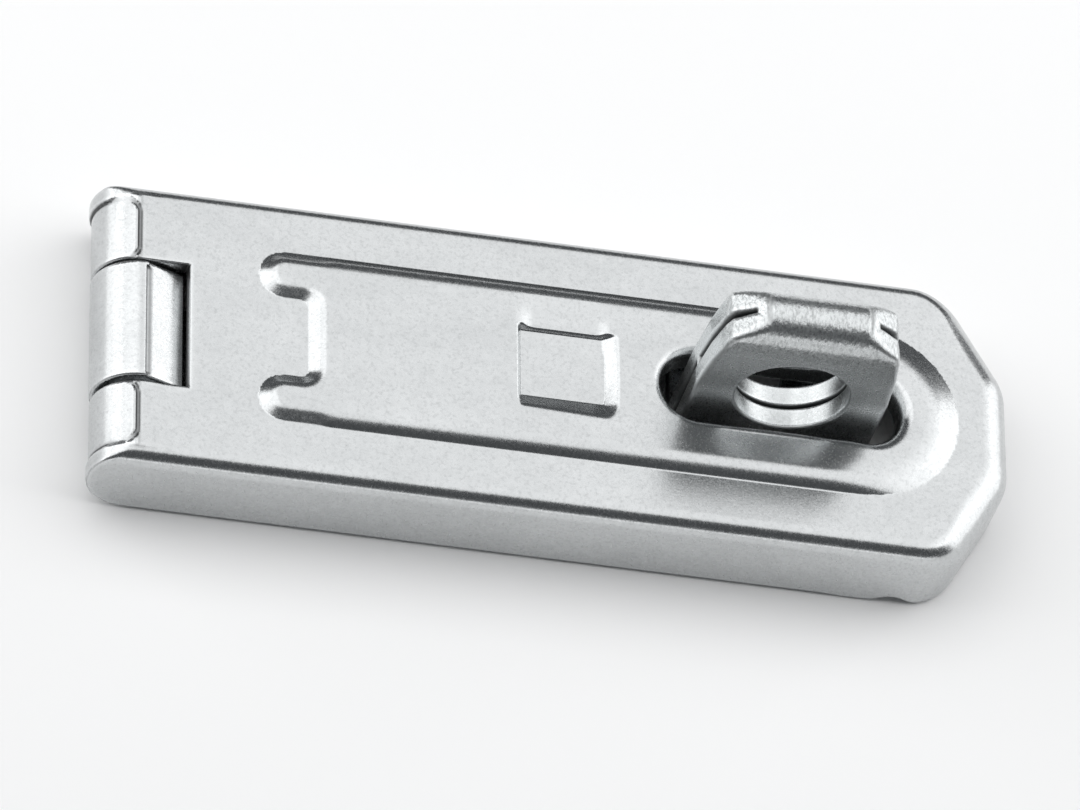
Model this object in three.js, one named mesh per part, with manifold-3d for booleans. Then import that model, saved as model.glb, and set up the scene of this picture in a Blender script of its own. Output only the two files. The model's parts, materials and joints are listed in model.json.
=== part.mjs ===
// Hasp and staple, closed position. Millimetres, +Z out of the mounting surface (z = 0),
// +X from the hinge towards the tip of the hasp, Y across the width.
// Every sub-part is drawn with x = 0 on the hinge axis and shifted at the end, so that the
// origin lies under the middle of the part.
import * as THREE from 'three';
import { mergeVertices } from 'three/addons/utils/BufferGeometryUtils.js';
import Module from 'manifold-3d';

const wasm = await Module();
wasm.setup();

// Overall
const LENGTH = 80;            // hinge end of the skirts to the tip
const WIDTH = 27.8;           // over the two side skirts
const PLATE_TOP = 8.1;        // outer face of the hasp's plate
const SHEET = 1.5;            // pressed sheet of hasp and leaf

// Hinge
const AXIS_Z = 4.25;          // hinge axis above the mounting surface
const SKIRT_END_R = 4.2;      // rounded ends of the skirts, concentric with the hinge
const PIN_R = 2.5;
const OUTER_BORE_R = 2.52;    // hasp's curls grip the pin
const CENTRE_BORE_R = 2.56;   // leaf's curl turns on it
const HASP_CURL_R = 4.0;
const LEAF_CURL_R = 4.05;
const NOTCH_HALF = 6.15;      // half width of the notch round the centre knuckle
const NOTCH_X = 3.7;          // far edge of the notch
const CURL_GAP = 0.2;         // between curls and their neighbours
const PLATE_X0 = -0.7;        // where the plate meets the outer curls
const ROUND = 48;             // sides of pin and bores

// Hasp tip, seen from above
const TIP_X = LENGTH - SKIRT_END_R;
const TIP_CORNER_X = 70.6;    // side skirt meets the slanting skirt
const TIP_FLAT_HALF = 4.9;    // half length of the blunt end
const TIP_SLANT = Math.atan2(WIDTH / 2 - TIP_FLAT_HALF, TIP_X - TIP_CORNER_X);
const TIP_CORNER_R = 5.0;     // roundings of the four corners
const EDGE_R = 1.5;           // pressed edge between plate and skirts

// Raised panel
const PANEL_RISE = 0.8;
const PANEL_HALF = 8.5;
const PANEL_END_X = 62.5;     // centre of its half-round end
const LOBE_X = 12.0;          // centres of the two lobes at the hinge end
const LOBE_Y = 6.2;
const LOBE_R = 2.3;
const BAY_X = 14.0;           // back wall of the bay between the lobes
const SHOULDER = 1.0;         // rounding of the panel's edges

// Square dimple, its floor level with the plate
const DIMPLE_X = 36.0;
const DIMPLE_HALF = 3.55;

// Slot for the staple, with a rim rolled downwards
const SLOT_X = 55.2;
const SLOT_HALF_LENGTH = 10.5;
const SLOT_HALF_WIDTH = 3.35;
const RIM_WALL = 1.3;
const RIM_BOTTOM = 6.1;

// Bottom edge of the skirts
const EDGE_Z = 0.15;
const DIP = { x: 63.2, half: 3.6, height: -0.15 };
const SCALLOP = { x: 66.8, half: 2.3, height: 0.65 };

// Fixed leaf
const LEAF_HALF = 12.0;
const TONGUE_HALF = 5.9;
const LEAF_X0 = 5.2;
const LEAF_X1 = 43.5;
const LEAF_HOLES = [[11.5, 7], [11.5, -7], [37, 7], [37, -7]];

// Staple
const STAPLE_X = 55.2;
const PLY = 2.06;
const PLY_GAP = 0.16;         // hairline between the two plies
const FOLD_R = 2.8;           // outer radius of the rolled fold
const FOLD_Z = 19.3;          // centre of the fold
const CREVICE_HALF = 0.32;    // widest opening between the plies inside the fold
const CREVICE_TOP = 20.8;
const FOOT_END = 11.5;        // feet reach this far to each side
const FOOT_BEND = 1.0;        // inside radius at the foot
const EYE_R = 4.87;
const EYE_Z = 12.0;
const STAPLE_HALF = 8.45;     // half width at the foot of the plies

// Countersunk screw holes in leaf and feet
const SCREW_R = 2.25;
const HEAD_R = 3.9;

const HINGE_X = SKIRT_END_R - LENGTH / 2;
const deg = THREE.MathUtils.degToRad;

// Solids

function solid(geometry) {
  const plain = geometry.clone();
  plain.deleteAttribute('normal');
  plain.deleteAttribute('uv');
  const merged = mergeVertices(plain, 1e-5);
  return new wasm.Manifold(new wasm.Mesh({
    numProp: 3,
    vertProperties: new Float32Array(merged.attributes.position.array),
    triVerts: new Uint32Array(merged.index.array),
  }));
}

function geometryOf(manifold) {
  const mesh = manifold.getMesh();
  const geometry = new THREE.BufferGeometry();
  geometry.setAttribute('position', new THREE.BufferAttribute(mesh.vertProperties, 3));
  geometry.setIndex(new THREE.BufferAttribute(mesh.triVerts, 1));
  geometry.translate(HINGE_X, 0, 0);
  geometry.computeVertexNormals();
  return geometry;
}

// A plan outline raised from z0 to z1, with its edges rounded by bevel.
function raise(shape, z0, z1, bevel = 0, curveSegments = 8) {
  const geometry = new THREE.ExtrudeGeometry(shape, {
    depth: z1 - z0 - 2 * bevel,
    bevelEnabled: bevel > 0,
    bevelThickness: bevel,
    bevelSize: bevel,
    bevelOffset: -bevel,
    bevelSegments: 3,
    curveSegments,
  });
  geometry.translate(0, 0, z0 + bevel);
  return solid(geometry);
}

// A side outline (drawn as x, z) swept across the width from y0 to y1.
function sweepY(shape, y0, y1, curveSegments = 12) {
  const geometry = new THREE.ExtrudeGeometry(shape, { depth: y1 - y0, bevelEnabled: false, curveSegments });
  geometry.rotateX(Math.PI / 2);
  geometry.translate(0, y1, 0);
  return solid(geometry);
}

// A cross-section (drawn as y, z) swept along the length from x0 to x1.
function sweepX(shape, x0, x1, curveSegments = 8) {
  const geometry = new THREE.ExtrudeGeometry(shape, { depth: x1 - x0, bevelEnabled: false, curveSegments });
  geometry.rotateX(Math.PI / 2);
  geometry.rotateZ(Math.PI / 2);
  geometry.translate(x0, 0, 0);
  return solid(geometry);
}

function box(x0, x1, y0, y1, z0, z1) {
  const geometry = new THREE.BoxGeometry(x1 - x0, y1 - y0, z1 - z0);
  geometry.translate((x0 + x1) / 2, (y0 + y1) / 2, (z0 + z1) / 2);
  return solid(geometry);
}

// A cylinder lying across the width.
function rod(radius, y0, y1, x = 0, z = AXIS_Z) {
  const geometry = new THREE.CylinderGeometry(radius, radius, y1 - y0, ROUND);
  geometry.translate(x, (y0 + y1) / 2, z);
  return solid(geometry);
}

// Outlines

// The staple's slot, moved outwards by grow: straight sides and half-round ends.
function slotOutline(grow, outline = new THREE.Shape()) {
  const straight = SLOT_HALF_LENGTH - SLOT_HALF_WIDTH;
  const radius = SLOT_HALF_WIDTH + grow;
  outline.absarc(SLOT_X + straight, 0, radius, -Math.PI / 2, Math.PI / 2);
  outline.absarc(SLOT_X - straight, 0, radius, Math.PI / 2, Math.PI * 1.5);
  outline.closePath();
  return outline;
}

function roundedRectangle(x0, x1, half, radius, outline = new THREE.Shape()) {
  outline.absarc(x1 - radius, radius - half, radius, -Math.PI / 2, 0);
  outline.absarc(x1 - radius, half - radius, radius, 0, Math.PI / 2);
  outline.absarc(x0 + radius, half - radius, radius, Math.PI / 2, Math.PI);
  outline.absarc(x0 + radius, radius - half, radius, Math.PI, Math.PI * 1.5);
  outline.closePath();
  return outline;
}

// The pan seen from above, moved inwards by inset; it runs past the hinge on the left.
function panOutline(inset) {
  const radius = TIP_CORNER_R - inset;
  const sideX = TIP_CORNER_X - TIP_CORNER_R * Math.tan(TIP_SLANT / 2);
  const sideY = WIDTH / 2 - TIP_CORNER_R;
  const endX = TIP_X - TIP_CORNER_R;
  const endY = TIP_FLAT_HALF - TIP_CORNER_R * Math.tan((Math.PI / 2 - TIP_SLANT) / 2);
  const slantNormal = Math.PI / 2 - TIP_SLANT;
  const outline = new THREE.Shape();
  outline.moveTo(-8, sideY + radius);
  outline.lineTo(-8, -sideY - radius);
  outline.absarc(sideX, -sideY, radius, -Math.PI / 2, -slantNormal);
  outline.absarc(endX, -endY, radius, -slantNormal, 0);
  outline.absarc(endX, endY, radius, 0, slantNormal);
  outline.absarc(sideX, sideY, radius, slantNormal, Math.PI / 2);
  outline.closePath();
  return outline;
}

// The raised panel seen from above: half-round end, two lobes and the bay between them.
function panelOutline(inset) {
  const lobe = LOBE_R - inset;
  const bayHalf = LOBE_Y - lobe;
  const bayX = BAY_X + inset;
  const corner = 0.8;
  const outline = new THREE.Shape();
  outline.absarc(PANEL_END_X, 0, PANEL_HALF - inset, -Math.PI / 2, Math.PI / 2);
  outline.absarc(LOBE_X, LOBE_Y, lobe, Math.PI / 2, Math.PI * 1.5);
  outline.absarc(bayX - corner, bayHalf - corner, corner, Math.PI / 2, 0, true);
  outline.absarc(bayX - corner, corner - bayHalf, corner, 0, -Math.PI / 2, true);
  outline.absarc(LOBE_X, -LOBE_Y, lobe, Math.PI / 2, Math.PI * 1.5);
  outline.closePath();
  return outline;
}

function dimpleOutline(half, radius) {
  return roundedRectangle(DIMPLE_X - half, DIMPLE_X + half, half, radius, new THREE.Path());
}

// Height of the skirts' bottom edge along the length.
function edgeHeight(x) {
  let z = EDGE_Z;
  for (const wave of [DIP, SCALLOP]) {
    const u = Math.abs(x - wave.x) / wave.half;
    if (u < 1) z += wave.height * Math.cos(u * Math.PI / 2) ** 2;
  }
  return z;
}

// A curl of sheet round the hinge axis, from angle a0 to a1 counted from +X towards +Z.
function curl(inner, outer, a0, a1) {
  const outline = new THREE.Shape();
  outline.absarc(0, AXIS_Z, outer, deg(a0), deg(a1));
  outline.absarc(0, AXIS_Z, inner, deg(a1), deg(a0), true);
  outline.closePath();
  return outline;
}

// Sub-parts

function screwHole(x, y) {
  const profile = [[0, -1], [SCREW_R, -1], [SCREW_R, SHEET - (HEAD_R - SCREW_R) * 0.75]];
  profile.push([HEAD_R, SHEET], [HEAD_R, SHEET + 2], [0, SHEET + 2]);
  const geometry = new THREE.LatheGeometry(profile.map(([r, z]) => new THREE.Vector2(r, z)), 28);
  geometry.rotateX(Math.PI / 2);
  geometry.translate(x, y, 0);
  return solid(geometry);
}

// The pan with its skirts: rounded at the hinge end, waved along the bottom edge.
function haspPan() {
  const middle = WIDTH / 2 - SHEET;
  const hingeEnd = box(-9, 0, -WIDTH, WIDTH, -3, 12).subtract(rod(SKIRT_END_R, -WIDTH, WIDTH));
  const below = new THREE.Shape();
  below.moveTo(-9, -4);
  below.lineTo(80, -4);
  for (let x = 80; x > 58; x -= 0.55) below.lineTo(x, edgeHeight(x));
  below.lineTo(-9, EDGE_Z);
  return raise(panOutline(0), -8, PLATE_TOP, EDGE_R)
    .subtract(raise(panOutline(SHEET), -9, PLATE_TOP - SHEET, 0.6))
    .subtract(box(-9, PLATE_X0, -middle, middle, -9, 12))
    .subtract(rod(OUTER_BORE_R, -middle, middle))
    .subtract(hingeEnd)
    .subtract(sweepY(below, -WIDTH, WIDTH))
    .subtract(box(-9, 80, -WIDTH, WIDTH, -12, -3));
}

// The panel pressed up from the plate, with openings for the dimple and the slot.
function raisedPanel() {
  const outline = panelOutline(0);
  outline.holes.push(slotOutline(0, new THREE.Path()));
  outline.holes.push(dimpleOutline(DIMPLE_HALF, 0.6));
  return raise(outline, PLATE_TOP - SHEET + 0.1, PLATE_TOP + PANEL_RISE, SHOULDER);
}

// The hollow under the panel; the dimple's floor and the slot's rim stand in it.
function panelHollow() {
  const outline = panelOutline(SHEET);
  outline.holes.push(slotOutline(RIM_WALL, new THREE.Path()));
  outline.holes.push(dimpleOutline(DIMPLE_HALF + SHEET, 1.6));
  return raise(outline, PLATE_TOP - SHEET - 2, PLATE_TOP + PANEL_RISE - SHEET, 0.4);
}

function outerKnuckle(side) {
  const y0 = NOTCH_HALF;
  const y1 = WIDTH / 2 - SHEET - CURL_GAP;
  const band = side > 0 ? [y0, y1] : [-y1, -y0];
  return sweepY(curl(OUTER_BORE_R, HASP_CURL_R, 78, 365), ...band, 36)
    .subtract(box(PLATE_X0, 8, -WIDTH, WIDTH, PLATE_TOP, 12));
}

function buildHasp() {
  return haspPan()
    .add(raisedPanel())
    .subtract(panelHollow())
    .add(raise(slotOutline(RIM_WALL), RIM_BOTTOM, PLATE_TOP, 0.3))
    .subtract(raise(slotOutline(0), 0, PLATE_TOP))
    .subtract(box(-9, NOTCH_X, -NOTCH_HALF, NOTCH_HALF, -1, 12))
    .add(outerKnuckle(1))
    .add(outerKnuckle(-1));
}

// The fixed leaf: centre knuckle, tongue under it and the screw plate.
function buildLeaf() {
  const knuckle = sweepY(curl(CENTRE_BORE_R, LEAF_CURL_R, 36, 272), -TONGUE_HALF, TONGUE_HALF, 36);
  const tongue = box(0, LEAF_X0 + 4, -TONGUE_HALF, TONGUE_HALF, 0, SHEET).subtract(rod(CENTRE_BORE_R, -9, 9));
  let leaf = knuckle
    .add(tongue)
    .add(raise(roundedRectangle(LEAF_X0, LEAF_X1, LEAF_HALF, 2), 0, SHEET));
  for (const [x, y] of LEAF_HOLES) leaf = leaf.subtract(screwHole(x, y));
  return leaf;
}

function buildPin() {
  const half = WIDTH / 2 - SHEET - CURL_GAP;
  const profile = [[0, -half], [PIN_R - 0.4, -half], [PIN_R, 0.4 - half]];
  profile.push([PIN_R, half - 0.4], [PIN_R - 0.4, half], [0, half]);
  const geometry = new THREE.LatheGeometry(profile.map(([r, y]) => new THREE.Vector2(r, y)), ROUND);
  geometry.translate(0, 0, AXIS_Z);
  return solid(geometry);
}

// Cross-section of the folded strip: foot, ply, rolled fold, ply, foot. The crevice between the
// plies widens a little inside the fold and closes to a point.
function foldedSection() {
  const inner = PLY_GAP / 2;
  const outer = inner + PLY;
  const bendY = outer + FOOT_BEND;
  const bendZ = PLY + FOOT_BEND;
  const open = deg(-35);
  const flareY = FOLD_R * Math.cos(open);
  const flareZ = FOLD_Z + FOLD_R * Math.sin(open);
  const section = new THREE.Shape();
  section.moveTo(FOOT_END, 0);
  section.lineTo(FOOT_END, PLY);
  section.absarc(bendY, bendZ, FOOT_BEND, Math.PI * 1.5, Math.PI, true);
  section.lineTo(outer, FOLD_Z - 2.6);
  section.quadraticCurveTo(outer, FOLD_Z - 1.83, flareY, flareZ);
  section.absarc(0, FOLD_Z, FOLD_R, open, Math.PI - open);
  section.quadraticCurveTo(-outer, FOLD_Z - 1.83, -outer, FOLD_Z - 2.6);
  section.absarc(-bendY, bendZ, FOOT_BEND, 0, -Math.PI / 2, true);
  section.lineTo(-FOOT_END, PLY);
  section.lineTo(-FOOT_END, 0);
  section.absarc(-bendY, bendZ, FOOT_BEND + PLY, -Math.PI / 2, 0);
  section.lineTo(-inner, FOLD_Z - 1.8);
  section.quadraticCurveTo(-CREVICE_HALF * 2, FOLD_Z, 0, CREVICE_TOP);
  section.quadraticCurveTo(CREVICE_HALF * 2, FOLD_Z, inner, FOLD_Z - 1.8);
  section.absarc(bendY, bendZ, FOOT_BEND + PLY, Math.PI, Math.PI * 1.5);
  section.closePath();
  return section;
}

// Front outline of the staple: slightly tapered, with its corners cut at the fold.
function stapleOutline() {
  const edge = [[STAPLE_HALF, -1], [STAPLE_HALF, 12], [8.1, 16], [7.6, 19], [7.3, 19.8]];
  edge.push([4.6, 21.7], [4.4, 23]);
  const outline = new THREE.Shape();
  outline.moveTo(STAPLE_X + edge[0][0], edge[0][1]);
  for (const [half, z] of edge.slice(1)) outline.lineTo(STAPLE_X + half, z);
  for (const [half, z] of edge.toReversed()) outline.lineTo(STAPLE_X - half, z);
  outline.closePath();
  return outline;
}

function buildStaple() {
  const x0 = STAPLE_X - STAPLE_HALF - 1;
  const x1 = STAPLE_X + STAPLE_HALF + 1;
  const feet = raise(roundedRectangle(x0 + 1, x1 - 1, FOOT_END, 1.5), -1, 30);
  return sweepX(foldedSection(), x0, x1)
    .intersect(sweepY(stapleOutline(), -FOOT_END - 1, FOOT_END + 1))
    .intersect(feet)
    .subtract(rod(EYE_R, -6, 6, STAPLE_X, EYE_Z))
    .subtract(screwHole(STAPLE_X, 7.6).scale([1, 1, PLY / SHEET]))
    .subtract(screwHole(STAPLE_X, -7.6).scale([1, 1, PLY / SHEET]));
}

function part(name, manifold, colour, roughness) {
  const material = new THREE.MeshStandardMaterial({ color: colour, roughness, metalness: 0.9 });
  const mesh = new THREE.Mesh(geometryOf(manifold), material);
  mesh.name = name;
  return mesh;
}

const haspAndStaple = new THREE.Group();
haspAndStaple.name = 'hasp_and_staple';
haspAndStaple.add(
  part('hasp', buildHasp(), 0xd2d6d8, 0.3),
  part('leaf', buildLeaf(), 0xcdd1d3, 0.32),
  part('hinge_pin', buildPin(), 0xa9adb0, 0.35),
  part('staple', buildStaple(), 0xb9bfc1, 0.34),
);

export default haspAndStaple;
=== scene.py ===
"""Looks of the hasp and staple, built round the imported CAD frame. Blender 4.5, metres.

Each visible piece is the zero surface of a distance field written in millimetres, in a frame
whose x runs from the hinge axis to the tip, y across the width and z out of the mounting
surface. The field gives the mesh its smooth pressed shapes and its normals.
"""
import json
import math

import bpy
import numpy as np
from mathutils import Matrix, Vector


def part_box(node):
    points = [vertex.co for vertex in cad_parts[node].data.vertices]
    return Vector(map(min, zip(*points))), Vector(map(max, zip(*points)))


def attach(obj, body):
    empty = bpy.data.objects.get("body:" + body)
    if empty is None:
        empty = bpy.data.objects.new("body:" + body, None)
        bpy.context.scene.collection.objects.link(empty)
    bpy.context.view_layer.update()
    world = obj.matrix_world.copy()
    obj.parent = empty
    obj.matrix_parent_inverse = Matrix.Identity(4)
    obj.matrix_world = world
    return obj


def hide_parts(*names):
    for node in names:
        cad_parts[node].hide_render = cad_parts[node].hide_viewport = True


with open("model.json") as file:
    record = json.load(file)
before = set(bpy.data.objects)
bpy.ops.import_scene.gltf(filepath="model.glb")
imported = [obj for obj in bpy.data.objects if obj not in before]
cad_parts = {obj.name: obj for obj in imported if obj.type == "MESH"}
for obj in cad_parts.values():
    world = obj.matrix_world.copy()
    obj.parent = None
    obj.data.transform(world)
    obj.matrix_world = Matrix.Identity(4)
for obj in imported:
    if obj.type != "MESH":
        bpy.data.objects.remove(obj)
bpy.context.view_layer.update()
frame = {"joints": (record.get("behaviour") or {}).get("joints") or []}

MM = 0.001
swing = next(j for j in frame["joints"] if j["name"] == "hasp_swing")
ORIGIN = Vector((swing["pos_m"][0], 0.0, 0.0))      # hinge frame's origin in the row frame
AXIS_Z = swing["pos_m"][2] / MM


def node_box(node):
    """A CAD node's corners in the hinge frame, in millimetres."""
    low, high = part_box(node)
    return [(c - ORIGIN) / MM for c in (low, high)]


hasp_low, hasp_high = node_box("hasp")
leaf_high = node_box("leaf")[1]
staple_low, staple_high = node_box("staple")

# Driving dimensions, in millimetres
SHEET = 1.5
HALF_WIDTH = hasp_high.y
TIP_X = hasp_high.x
PANEL_RISE = 0.8
PLATE_TOP = 8.1
EDGE_R, TIP_EDGE_GAIN = 1.5, 1.2
TIP_CORNER_X, TIP_FLAT_HALF, TIP_CORNER_R = TIP_X - 5.2, 4.9, 5.0
SKIRT_END_R = -hasp_low.x
CURL_R, BORE_R = 4.0, 2.52                          # the hasp's curls
CENTRE_CURL_R, CENTRE_BORE_R = 4.05, 2.56           # the leaf's curl
PIN_R = 2.48
CENTRE_Y, CENTRE_HALF = 0.12, 5.78                  # the leaf's curl across the width
CREASE_X, CREASE_Z, CREASE_R = 0.25, 8.27, 0.31     # where that curl turns into its tail
TAIL_R, TAIL_END_X, TAIL_SWEEP_R = 0.74, 3.5, 4.38
NOTCH_X, NOTCH_HALF = 3.7, 6.15
JOGGLE_X = -0.65
CURL_END = HALF_WIDTH - SHEET - 0.2
PANEL_HALF, PANEL_END_X = 8.5, 62.5
LOBE_X, LOBE_Y, LOBE_R = 12.0, 6.2, 2.3
BAY_X, BAY_HALF = 14.0, 3.9
DIMPLE_X, DIMPLE_HALF = 36.0, 3.55
SLOT_X, SLOT_HALF_LENGTH, SLOT_HALF_WIDTH = 55.2, 10.5, 3.35
RIM_R, RIM_WALL, RIM_BOTTOM = 0.9, 1.3, 6.1
STAPLE_X = (staple_low.x + staple_high.x) / 2
STAPLE_HALF = (staple_high.x - staple_low.x) / 2
PLY, PLY_GAP = 2.06, 0.16
FOLD_R = 2.52
FOLD_Z = staple_high.z - FOLD_R
CREVICE_TOP, CREVICE_FOOT = FOLD_Z + 1.3, 13
FOOT_END, FOOT_BEND = staple_high.y, 1.0
EYE_R, EYE_Z = 4.87, 12.0
SCREW_R, HEAD_R = 2.25, 3.9
LEAF_START_X, LEAF_CORNER_R = 5.2, 2.0
LEAF_HOLES_X, LEAF_HOLE_Y, FOOT_HOLE_Y = (11.5, 37.0), 7.0, 7.6


# Distance fields: negative inside, in millimetres

def ramp(t):
    t = np.clip(t, 0, 1)
    return t * t * (3 - 2 * t)


def join(a, b, soft):
    """Union with a fillet about as wide as soft."""
    h = np.clip(0.5 + 0.5 * (b - a) / soft, 0, 1)
    return b + (a - b) * h - soft * h * (1 - h)


def keep(a, b, soft):
    """Intersection with its edges rounded."""
    return -join(-a, -b, soft)


def cut(a, b, soft):
    """a with b taken away."""
    return keep(a, -b, soft)


def corner(a, b, radius):
    """Intersection of two half spaces, its edge a quarter round of that radius."""
    a, b = a + radius, b + radius
    return np.minimum(np.maximum(a, b), 0) + np.hypot(np.maximum(a, 0), np.maximum(b, 0)) - radius


def rectangle(x, y, half_x, half_y, radius):
    return corner(np.abs(x) - half_x, np.abs(y) - half_y, radius)


def stadium(x, y, half_length, half_width):
    return np.hypot(np.maximum(np.abs(x) - half_length + half_width, 0), y) - half_width


def polygon(x, y, points):
    best = np.full(x.shape, 1e9)
    inside = np.zeros(x.shape, bool)
    for (ax, ay), (bx, by) in zip(points, points[1:] + points[:1]):
        ex, ey = bx - ax, by - ay
        t = np.clip(((x - ax) * ex + (y - ay) * ey) / (ex * ex + ey * ey), 0, 1)
        best = np.minimum(best, np.hypot(x - ax - t * ex, y - ay - t * ey))
        if ay != by:
            crosses = ((ay > y) != (by > y)) & (x < ex * (y - ay) / ey + ax)
            inside ^= crosses
    return np.where(inside, -best, best)


def segment(x, y, ax, ay, bx, by):
    ex, ey = bx - ax, by - ay
    t = np.clip(((x - ax) * ex + (y - ay) * ey) / (ex * ex + ey * ey), 0, 1)
    return np.hypot(x - ax - t * ex, y - ay - t * ey)


def arch(depth, width, height):
    """Height of a pressed wall at this depth in from its foot: an arc, level after width."""
    t = np.clip(depth / width, 0, 1)
    slope = 0.76                                    # sine of the arc's angle at the foot
    base = math.sqrt(1 - slope * slope)
    return height * (np.sqrt(1 - (slope * (1 - t)) ** 2) - base) / (1 - base)


def pan_outline(x, y):
    """Outline of the plate from above: straight sides, slanting corners, blunt tip."""
    r = TIP_CORNER_R
    side, end = HALF_WIDTH - r, TIP_X - r
    corner_x = TIP_CORNER_X - r * math.tan(math.radians(30))
    flat = TIP_FLAT_HALF - r * math.tan(math.radians(15))
    near = [(-60, -side), (corner_x, -side), (end, -flat)]
    far = [(px, -py) for px, py in reversed(near)]
    return polygon(x, y, near + far) - r


def panel_outline(x, y):
    """Outline of the raised panel: half-round at the tip, two lobes and a bay at the hinge."""
    ay = np.abs(y)
    sides = np.where(x > PANEL_END_X, np.hypot(x - PANEL_END_X, y), ay) - PANEL_HALF
    bay = corner(x - BAY_X, ay - BAY_HALF, 0.8)
    lobes = np.hypot(x - LOBE_X, ay - LOBE_Y) - LOBE_R
    return np.where(x < LOBE_X, lobes, np.maximum(sides, -bay))


def relief(x, y):
    """Height of the pressed panel above the plate."""
    depth = -panel_outline(x, y)
    end = ramp((x - 59) / 9)
    start = ramp((16.5 - x) / 2)
    tip = np.maximum(join(0.36 * depth, PANEL_RISE, 0.35), 0)
    lobes = np.maximum(join(0.66 * depth, PANEL_RISE, 0.3), 0)
    sides = arch(depth, 1.75, PANEL_RISE)
    panel = (1 - end - start) * sides + end * tip + start * lobes
    beside = np.maximum(np.abs(x - DIMPLE_X - 0.2) - 2.6, 0)
    sag = 0.42 * np.exp(-((y - 4.2) / 1.6) ** 2 - (beside / 1.1) ** 2)
    return np.minimum(panel, join(PANEL_RISE * dimple_climb(x, y), PANEL_RISE - sag, 0.16))


def dimple_climb(x, y):
    """How far up the dimple's wall a point is, from 0 on the floor to 1 at the crest. The press
    left two walls steep and two shallow, one of them bowed."""
    bow = 0.3 * np.clip(1 - (y / DIMPLE_HALF) ** 2, 0, 1)
    dx, dy = x - DIMPLE_X, y - 0.15
    right, near = (dx - DIMPLE_HALF - bow) / (1.3 - bow), (-dy - 3.0) / (1.55 + 0.04 * np.clip(dx, -5, 5))
    left, far = (-dx - DIMPLE_HALF) / 0.4, (dy - DIMPLE_HALF) / 0.5
    return np.hypot(np.maximum(np.maximum(right, left), 0), np.maximum(np.maximum(near, far), 0))


def edge_height(x):
    """Height of the skirts' lower edge, with its dip and scallop near the tip."""
    z = np.full(x.shape, 0.15)
    for middle, half, height in ((63.2, 3.6, -0.15), (66.8, 2.3, 0.65)):
        u = np.clip(np.abs(x - middle) / half, 0, 1)
        z += height * np.cos(u * math.pi / 2) ** 2
    return z


def curl(x, z, inner, outer):
    """A rolled tube round the hinge axis."""
    r = np.hypot(x, z - AXIS_Z)
    return np.abs(r - (inner + outer) / 2) - (outer - inner) / 2


def hasp_field(x, y, z):
    """The pressed plate: pan, raised panel, rolled slot, notch and outer knuckles."""
    ay = np.abs(y)
    lift = relief(x, y)
    # The pressed edge widens round the tip
    edge_r = EDGE_R + TIP_EDGE_GAIN * ramp((x - 67) / 5)
    pan = corner(pan_outline(x, y), z - lift - PLATE_TOP, edge_r)
    sheet = np.maximum(pan, -(pan + SHEET))
    sheet = keep(sheet, edge_height(x) - z, 0.5)
    sheet = np.maximum(sheet, -np.maximum(x - JOGGLE_X, ay - (HALF_WIDTH - SHEET - 0.05)))
    end_r = SKIRT_END_R - 0.1 * ramp((x + 3.2) / 0.8)
    reach = np.hypot(np.minimum(x, 0), z - AXIS_Z) - end_r - 0.2 * np.maximum(x, 0)
    sheet = keep(sheet, reach, 0.3)

    slot = stadium(x - SLOT_X, y, SLOT_HALF_LENGTH, SLOT_HALF_WIDTH)
    collar = corner(np.abs(slot - RIM_WALL / 2) - RIM_WALL / 2, RIM_BOTTOM - z, 0.4)
    collar = np.maximum(collar, z - PLATE_TOP - 0.2)
    body = join(sheet, collar, 0.5)
    rim = corner(-slot, z - PLATE_TOP - PANEL_RISE, RIM_R + 0.6 * ramp((x - 61) / 4))
    body = np.where(slot < 3, np.maximum(body, rim), body)
    body = cut(body, np.maximum(x - NOTCH_X, ay - NOTCH_HALF), 0.22)
    body = join(body, outer_knuckles(x, ay, z), 0.12)
    plan = knuckle_plan(x, ay)
    groove = np.maximum(np.abs(plan) - 0.1, PLATE_TOP - 0.09 * ramp((x + 1.9) / 1.1) - z)
    return cut(body, np.maximum(groove, NOTCH_HALF - 0.2 - ay), 0.26)


def knuckle_plan(x, ay):
    """Outline from above of an outer knuckle, where it steps down into the plate."""
    middle, half = (NOTCH_HALF + CURL_END) / 2, (CURL_END - NOTCH_HALF) / 2
    return rectangle(x - JOGGLE_X + 5, ay - middle, 5, half, 1.3)


def outer_knuckles(x, ay, z):
    ring = curl(x, z, BORE_R, CURL_R)
    ring = cut(ring, np.maximum(2.0 - x, np.abs(z - AXIS_Z - 1.2) - 1.0), 0.1)
    end = CURL_END + 0.14 + 0.34 * ramp((x + 3.0) / 0.5)
    across = np.abs(ay - (NOTCH_HALF + end) / 2) - (end - NOTCH_HALF) / 2
    ring = keep(ring, across, 0.3)
    return keep(ring, np.minimum(z - PLATE_TOP, x - JOGGLE_X), 0.12)


def screw_hole(x, y, z, cx, cy, thickness):
    """Countersunk from above, through a plate whose back is at z = 0."""
    r = np.hypot(x - cx, y - cy)
    cone = (r - HEAD_R + np.maximum(thickness - z, 0)) * math.sqrt(0.5)
    return np.minimum(r - SCREW_R, cone)


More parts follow.
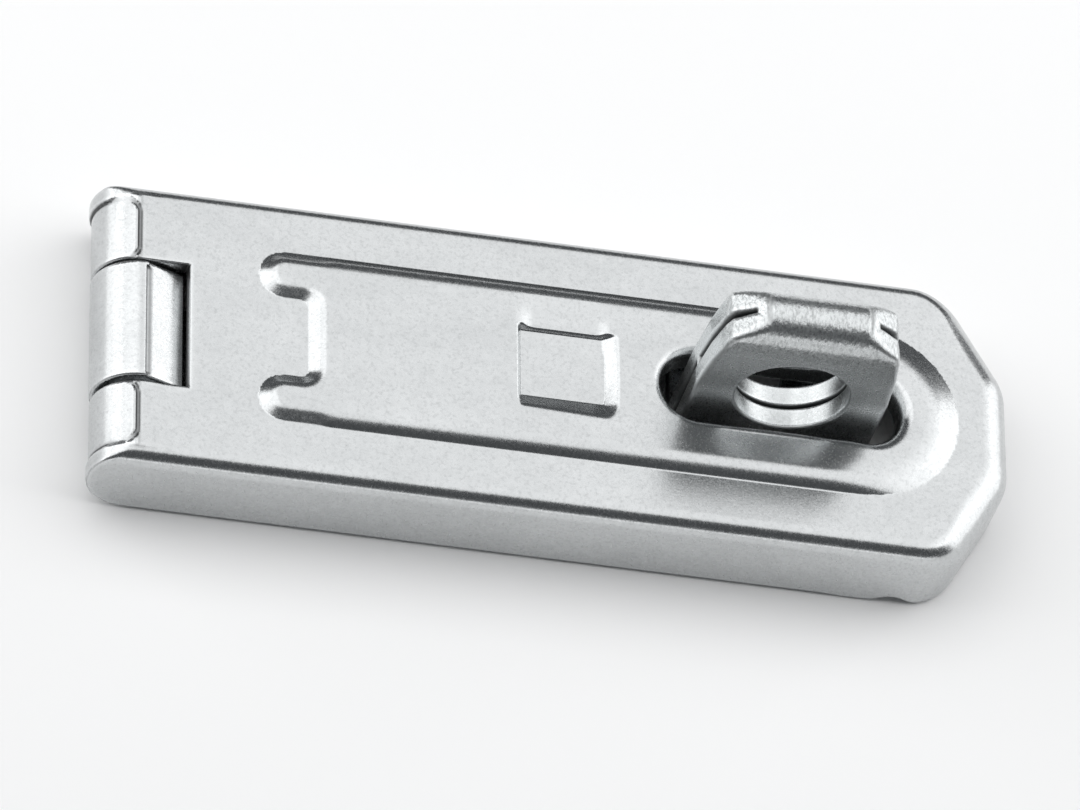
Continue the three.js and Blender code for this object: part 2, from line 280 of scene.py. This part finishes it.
def leaf_field(x, y, z):
    """The fixed leaf: screw plate, tongue, and the centre knuckle with its tail."""
    ay = np.abs(y)
    middle, half = (LEAF_START_X + leaf_high.x) / 2, (leaf_high.x - LEAF_START_X) / 2
    plate = rectangle(x - middle, y, half, leaf_high.y, LEAF_CORNER_R)
    plate = corner(plate, np.abs(z - SHEET / 2) - SHEET / 2, 0.25)
    tongue = rectangle(x - 4.5, y, 4.6, 5.9, 0.2)
    tongue = corner(tongue, np.abs(z - SHEET / 2) - SHEET / 2, 0.15)
    ring = curl(x, z, CENTRE_BORE_R, CENTRE_CURL_R)
    ring = keep(ring, x - 0.2, 0.15)
    tail = segment(x, z, 0.07, 7.315, 3.17, 6.035) - TAIL_R
    sweep = np.hypot(x, z - AXIS_Z) - TAIL_SWEEP_R
    tail = keep(tail, np.maximum(sweep, x - TAIL_END_X), 0.08)
    ring = join(ring, tail, 0.12)
    ring = keep(ring, np.abs(y - CENTRE_Y) - CENTRE_HALF, 0.3)
    crease = np.maximum(np.hypot(x - CREASE_X, z - CREASE_Z) - CREASE_R, ay - 5.4)
    ring = cut(ring, crease, 0.14)
    body = np.minimum(np.minimum(plate, tongue), ring)
    for cx in LEAF_HOLES_X:
        body = cut(body, screw_hole(x, ay, z, cx, LEAF_HOLE_Y, SHEET), 0.12)
    return body


def pin_field(x, y, z):
    r = np.hypot(x, z - AXIS_Z)
    return corner(r - PIN_R, np.abs(y) - CURL_END, 0.4)


def folded_section(y, z):
    """The folded strip in cross-section: feet, plies with their crevice, and the rolled fold."""
    ay = np.abs(y)
    middle = (PLY_GAP + PLY) / 2
    bend_r = FOOT_BEND + PLY / 2
    bend_y, bend_z = middle + bend_r, PLY / 2 + bend_r
    foot = segment(ay, z, bend_y, PLY / 2, FOOT_END + 5, PLY / 2)
    bend = np.abs(np.hypot(ay - bend_y, z - bend_z) - bend_r)
    bend = np.where((ay <= bend_y) & (z <= bend_z), bend, 1e9)
    ply = segment(ay, z, middle, bend_z, middle, 13)
    strip = np.minimum(np.minimum(foot, bend), ply) - PLY / 2
    half = PLY_GAP / 2 + PLY
    swell = half + (FOLD_R - half) * ramp((z - FOLD_Z + 7) / 7)
    fold = np.where(z > FOLD_Z, np.hypot(ay, z - FOLD_Z) - FOLD_R, np.maximum(ay - swell, 12 - z))
    opening = PLY_GAP / 2 + 0.05 * np.maximum(1 - ((z - FOLD_Z) / 1.6) ** 2, 0)
    opening *= 0.25 + 0.75 * ramp((CREVICE_TOP - z) / 0.8)
    middle_z, half_z = (CREVICE_TOP + CREVICE_FOOT) / 2, (CREVICE_TOP - CREVICE_FOOT) / 2
    crevice = np.maximum(ay - opening, np.abs(z - middle_z) - half_z)
    return cut(np.minimum(strip, fold), crevice, 0.1)


def staple_field(x, y, z):
    """The folded strip cut to its outline, with eye and screw holes."""
    dx, ay = np.abs(x - STAPLE_X), np.abs(y)
    r = 0.7                                         # rounding of the outline's corners
    side = [(STAPLE_HALF, -9), (STAPLE_HALF, 12), (8.1, 16), (7.6, 18.8)]
    chamfer = [(7.35, 19.5), (4.6, 21.35), (4.3, 26)]
    outline = [(h - r, v) for h, v in side + chamfer] + [(-9, 26), (-9, -9)]
    front = polygon(dx, z, outline) - r
    plan = rectangle(dx, y, STAPLE_HALF, FOOT_END, 1.5)
    body = keep(folded_section(y, z), np.maximum(front, plan), 0.6)
    eye = EYE_R - np.hypot(dx, z - EYE_Z)
    body = keep(body, eye, 0.32)
    return cut(body, screw_hole(x, ay, z, STAPLE_X, FOOT_HOLE_Y, PLY), 0.12)


# Meshing

def gradient(field, p, h=0.02):
    g = np.empty_like(p)
    for axis in range(3):
        step = np.zeros(3)
        step[axis] = h
        g[:, axis] = field(*(p + step).T) - field(*(p - step).T)
    return g / (2 * h)


def settle(field, p, rounds=3, limit=0.15):
    """Moves points onto the field's zero surface."""
    for _ in range(rounds):
        g = gradient(field, p)
        move = field(*p.T)[:, None] * g / np.maximum((g * g).sum(1), 0.05)[:, None]
        p = p - np.clip(move, -limit, limit)
    return p


def surface_net(field, low, high, step):
    """Vertices and quads of the field's zero surface on a grid, in millimetres."""
    low = np.floor(np.array(low) / step - 2) * step
    count = np.ceil((np.array(high) - low) / step + 3).astype(int)
    axes = [low[a] + step * np.arange(count[a]) for a in range(3)]
    values = field(*np.meshgrid(*axes, indexing="ij"))
    inside = values < 0
    cells = tuple(c - 1 for c in count)
    total = np.zeros((*cells, 3))
    hits = np.zeros(cells, int)
    for axis in range(3):
        others = [a for a in range(3) if a != axis]
        for i in (0, 1):
            for j in (0, 1):
                start, stop = [slice(None)] * 3, [slice(None)] * 3
                for a, shift in zip(others, (i, j)):
                    start[a] = stop[a] = slice(shift, shift + cells[a])
                start[axis], stop[axis] = slice(0, cells[axis]), slice(1, cells[axis] + 1)
                a_val, b_val = values[tuple(start)], values[tuple(stop)]
                crossed = (a_val < 0) != (b_val < 0)
                t = np.where(crossed, a_val / np.where(crossed, a_val - b_val, 1), 0)
                hits += crossed
                total[..., axis] += t
                total[..., others[0]] += crossed * i
                total[..., others[1]] += crossed * j
    used = hits > 0
    index = np.full(cells, -1)
    index[used] = np.arange(used.sum())
    points = (np.argwhere(used) + total[used] / hits[used][:, None]) * step + low
    quads = []
    for axis in range(3):
        b, c = (axis + 1) % 3, (axis + 2) % 3
        start, stop = [slice(1, -1)] * 3, [slice(1, -1)] * 3
        start[axis], stop[axis] = slice(0, -1), slice(1, None)
        first, second = inside[tuple(start)], inside[tuple(stop)]
        for flip in (False, True):
            at = np.argwhere(first & ~second if not flip else ~first & second)
            at += np.array([0 if a == axis else 1 for a in range(3)])
            ring = []
            for db, dc in ((-1, -1), (0, -1), (0, 0), (-1, 0)):
                cell = at.copy()
                cell[:, b] += db
                cell[:, c] += dc
                ring.append(index[tuple(cell.T)])
            quad = np.stack(ring if not flip else ring[::-1], 1)
            quads.append(quad)
    return points, np.concatenate(quads)


def to_mesh(name, points, faces):
    mesh = bpy.data.meshes.new(name)
    mesh.vertices.add(len(points))
    mesh.vertices.foreach_set("co", points.astype(np.float32).ravel())
    size = faces.shape[1]
    mesh.loops.add(faces.size)
    mesh.loops.foreach_set("vertex_index", faces.astype(np.int32).ravel())
    mesh.polygons.add(len(faces))
    mesh.polygons.foreach_set("loop_start", np.arange(0, faces.size, size, dtype=np.int32))
    mesh.update(calc_edges=True)
    mesh.validate()
    return mesh


def build_piece(name, field, low, high, step, most_faces):
    """A piece in the row frame: net, thinned where it is flat, then settled on its surface."""
    points, quads = surface_net(field, low, high, step)
    points = settle(field, points)
    piece = bpy.data.objects.new(name, to_mesh(name, points, quads))
    bpy.context.scene.collection.objects.link(piece)
    if 2 * len(quads) > most_faces:
        thin = piece.modifiers.new("thin", "DECIMATE")
        thin.ratio = most_faces / (2 * len(quads))
        evaluated = piece.evaluated_get(bpy.context.evaluated_depsgraph_get())
        mesh = bpy.data.meshes.new_from_object(evaluated)
        piece.modifiers.clear()
        piece.data = mesh
    mesh = piece.data
    count = len(mesh.vertices)
    co = np.empty(count * 3, np.float32)
    mesh.vertices.foreach_get("co", co)
    points = settle(field, co.reshape(-1, 3).astype(float), rounds=2, limit=0.05)
    normals = gradient(field, points, 0.05)
    normals /= np.linalg.norm(normals, axis=1)[:, None]
    mesh.vertices.foreach_set("co", (points * MM + np.array(ORIGIN)).astype(np.float32).ravel())
    mesh.polygons.foreach_set("use_smooth", np.ones(len(mesh.polygons), bool))
    mesh.update()
    mesh.normals_split_custom_set_from_vertices(normals.astype(np.float32))
    # The crevice value estimates how enclosed each point is; the material paints shade from it.
    set_attribute(mesh, "crevice", crowding(field, points, normals))
    set_attribute(mesh, "edge", crowding(lambda *p: -field(*p), points, -normals))
    return piece


def crowding(field, points, normals):
    """How near other surface is in front of each point: 0 in the open, towards 1 in a crevice. The zinc
    material paints shade in crevices from it and lightens convex edges with it.
    """
    total = np.zeros(len(points))
    for reach in (0.3, 0.7):
        total += np.clip(1 - field(*(points + normals * reach).T) / reach, 0, 1) / 2
    return total


def set_attribute(mesh, name, values):
    attribute = mesh.attributes.new(name, "FLOAT", "POINT")
    attribute.data.foreach_set("value", values.astype(np.float32))


# Materials

def principled(name):
    material = bpy.data.materials.new(name)
    material.use_nodes = True
    nodes, links = material.node_tree.nodes, material.node_tree.links
    shader = next(n for n in nodes if n.type == "BSDF_PRINCIPLED")
    return material, nodes, links, shader


def noise(nodes, links, place, scale, detail, stretch=(1, 1, 1)):
    mapping = nodes.new("ShaderNodeMapping")
    mapping.inputs["Scale"].default_value = stretch
    links.new(place, mapping.inputs["Vector"])
    texture = nodes.new("ShaderNodeTexNoise")
    texture.inputs["Scale"].default_value = scale
    texture.inputs["Detail"].default_value = detail
    links.new(mapping.outputs["Vector"], texture.inputs["Vector"])
    return texture.outputs["Fac"]


def spread(nodes, links, value, low, high, to_low, to_high):
    node = nodes.new("ShaderNodeMapRange")
    node.inputs["From Min"].default_value = low
    node.inputs["From Max"].default_value = high
    node.inputs["To Min"].default_value = to_low
    node.inputs["To Max"].default_value = to_high
    links.new(value, node.inputs["Value"])
    return node.outputs["Result"]


def blend(nodes, links, factor, first, second):
    """Colour mix; first and second are colours or sockets."""
    mix = nodes.new("ShaderNodeMix")
    mix.data_type = "RGBA"
    links.new(factor, mix.inputs["Factor"])
    for socket, value in ((mix.inputs[6], first), (mix.inputs[7], second)):
        if isinstance(value, tuple):
            socket.default_value = (*value, 1)
        else:
            links.new(value, socket)
    return mix.outputs[2]


def combine(nodes, links, operation, a, b):
    node = nodes.new("ShaderNodeMath")
    node.operation = operation
    for socket, value in zip(node.inputs, (a, b)):
        if isinstance(value, float):
            socket.default_value = value
        else:
            links.new(value, socket)
    return node.outputs[0]


def attribute(nodes, name, links, low, high):
    node = nodes.new("ShaderNodeAttribute")
    node.attribute_name = name
    return spread(nodes, links, node.outputs["Fac"], low, high, 0, 1)


def shaded(colour, factor):
    return tuple(min(1.0, c * factor) for c in colour)


def zinc(name, light, dark, roughness, metallic=1.0, bumps=0.16, worked=None):
    """Bright zinc plate: mottling, specks, fine grain, painted shade that darkens the crevices, which are
    also rougher, and colour lighter on convex edges. Above the height worked, in metres, the press left
    brush marks."""
    material, nodes, links, shader = principled(name)
    shader.inputs["Metallic"].default_value = metallic
    coordinates = nodes.new("ShaderNodeTexCoord")
    place = coordinates.outputs["Object"]
    cloud = noise(nodes, links, place, 1400, 6)
    smudge = noise(nodes, links, place, 110, 2, (1, 2.2, 1))
    grain = noise(nodes, links, place, 5200, 3)
    speckle = noise(nodes, links, place, 3300, 3)
    tone = combine(nodes, links, "ADD", spread(nodes, links, cloud, 0.3, 0.7, 0.1, 0.6),
                   spread(nodes, links, smudge, 0.35, 0.7, 0, 0.4))
    colour = blend(nodes, links, tone, dark, light)
    specks = spread(nodes, links, speckle, 0.5, 0.75, 0, 0.8)
    colour = blend(nodes, links, specks, colour, shaded(dark, 0.87))
    # Colour lighter on convex edges, where the edge value is high.
    edge = attribute(nodes, "edge", links, 0.15, 0.6)
    colour = blend(nodes, links, edge, colour, shaded(light, 1.12))
    # Painted shade: the colour is darkened towards 0.3 of the dark tone where other surface crowds close
    # in front, in grooves, gaps and inner corners, in place of the shade that falls there.
    crevice = attribute(nodes, "crevice", links, 0.08, 0.5)
    colour = blend(nodes, links, crevice, colour, shaded(dark, 0.3))
    rough = spread(nodes, links, grain, 0.3, 0.7, roughness - 0.04, roughness + 0.06)
    rough = combine(nodes, links, "ADD", rough, combine(nodes, links, "MULTIPLY", crevice, 0.25))
    links.new(rough, shader.inputs["Roughness"])
    bump = nodes.new("ShaderNodeBump")
    bump.inputs["Strength"].default_value = bumps
    bump.inputs["Distance"].default_value = 0.03 * MM
    height = grain
    if worked is not None:
        axis = nodes.new("ShaderNodeSeparateXYZ")
        links.new(place, axis.inputs["Vector"])
        above = spread(nodes, links, axis.outputs["Z"], worked, worked + 0.0014, 0, 16)
        streaks = noise(nodes, links, place, 5600, 4, (1, 0.4, 0.4))
        brushed = combine(nodes, links, "MULTIPLY", above, streaks)
        height = combine(nodes, links, "ADD", grain, brushed)
        marks = spread(nodes, links, streaks, 0.48, 0.64, 0, 0.03)
        marks = combine(nodes, links, "MULTIPLY", above, marks)
        colour = blend(nodes, links, marks, colour, shaded(dark, 0.4))
    links.new(colour, shader.inputs["Base Color"])
    links.new(height, bump.inputs["Height"])
    links.new(bump.outputs["Normal"], shader.inputs["Normal"])
    return material


def add_piece(name, field, node, body, material, step, most_faces):
    low, high = node_box(node)
    piece = build_piece(name, field, low, high, step, most_faces)
    piece.data.materials.append(material)
    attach(piece, body)
    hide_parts(node)
    return piece


# Stage

def soft_box(name, place, towards, size_x, size_y, radiance):
    """A rectangular lamp of even radiance."""
    data = bpy.data.lights.new(name, "AREA")
    data.shape = "RECTANGLE"
    data.size, data.size_y = size_x, size_y
    data.energy = radiance * math.pi * size_x * size_y
    lamp = bpy.data.objects.new(name, data)
    lamp.location = place
    lamp.rotation_mode = "QUATERNION"
    lamp.rotation_quaternion = Vector(towards).to_track_quat("-Z", "Y")
    bpy.context.scene.collection.objects.link(lamp)


def make_stage():
    half = 2.0
    mesh = bpy.data.meshes.new("floor")
    corners = [(-half, -half, 0), (half, -half, 0), (half, half, 0), (-half, half, 0)]
    mesh.from_pydata(corners, [], [(0, 1, 2, 3)])
    floor = bpy.data.objects.new("floor", mesh)
    floor.location.z = -0.02 * MM                   # just under the part
    bpy.context.scene.collection.objects.link(floor)
    material = bpy.data.materials.new("floor_paint")
    material.use_nodes = True
    shader = material.node_tree.nodes["Principled BSDF"]
    shader.inputs["Base Color"].default_value = (0.97, 0.97, 0.97, 1)
    shader.inputs["Roughness"].default_value = 0.9
    mesh.materials.append(material)


def make_lights():
    world = bpy.data.worlds.new("studio")
    world.use_nodes = True
    background = world.node_tree.nodes["Background"]
    background.inputs["Color"].default_value = (0.9, 0.95, 1.0, 1)
    background.inputs["Strength"].default_value = 0.09
    bpy.context.scene.world = world
    soft_box("top", (0.07, 0.195, 0.5), (0, 0, -1), 0.34, 0.77, 1.18)
    soft_box("top_left", (-0.37, 0.195, 0.5), (0, 0, -1), 0.54, 0.77, 1.65)
    soft_box("top_right", (0.32, 0.195, 0.5), (0, 0, -1), 0.16, 0.77, 1.4)
    soft_box("far_right", (0.52, 0.195, 0.5), (0, 0, -1), 0.24, 0.77, 1.7)
    for side, x in (("left", -0.64), ("right", 0.64)):
        soft_box(side + "_high", (x, 0.25, 0.38), (-x, 0, -0.1), 0.8, 0.26, 1.8)
        soft_box(side + "_low", (x, 0.25, 0.125), (-x, 0, 0), 0.8, 0.25, 1.6)
    soft_box("low_front", (0.1, -0.5, 0.035), (0, 1, 0), 1.1, 0.07, 1.5)


def make_camera():
    azimuth, elevation, roll = (math.radians(v) for v in (-20.58, 54.40, 24.22))
    across = math.cos(elevation)
    back = Vector((math.sin(azimuth) * across, -math.cos(azimuth) * across, math.sin(elevation)))
    level = Vector((math.cos(azimuth), math.sin(azimuth), 0))
    upright = back.cross(level)
    right = level * math.cos(roll) + upright * math.sin(roll)
    up = upright * math.cos(roll) - level * math.sin(roll)
    distance = 1.0                                  # a long lens, nearly parallel as in the photo
    target = ORIGIN + Vector((36, 0, 5)) * MM - right * 1.06 * MM - up * 1.13 * MM
    data = bpy.data.cameras.new("camera")
    data.sensor_width = 36
    data.lens = 391.6
    data.clip_start, data.clip_end = 0.05, 20
    camera = bpy.data.objects.new("camera", data)
    camera.matrix_world = Matrix((right, up, back)).transposed().to_4x4()
    camera.location = target + back * distance
    bpy.context.scene.collection.objects.link(camera)
    bpy.context.scene.camera = camera


make_camera()
plate_zinc = zinc("plate_zinc", (0.62, 0.633, 0.638), (0.53, 0.543, 0.548), 0.23)
staple_zinc = zinc("staple_zinc", (0.66, 0.68, 0.685), (0.57, 0.59, 0.595), 0.28,
                   metallic=0.96, bumps=0.15, worked=0.0174)
pin_steel = zinc("pin_steel", (0.46, 0.47, 0.48), (0.38, 0.39, 0.40), 0.3)

COARSE = 0.2
add_piece("hasp_plate", hasp_field, "hasp", "hasp", plate_zinc, COARSE, 190000)
add_piece("hinge_leaf", leaf_field, "leaf", "leaf", plate_zinc, COARSE, 90000)
add_piece("pivot_pin", pin_field, "hinge_pin", "hasp", pin_steel, 0.3, 20000)
add_piece("staple_strip", staple_field, "staple", "staple", staple_zinc, 0.14, 190000)

make_stage()
make_lights()
bpy.context.scene.view_settings.view_transform = "Standard"
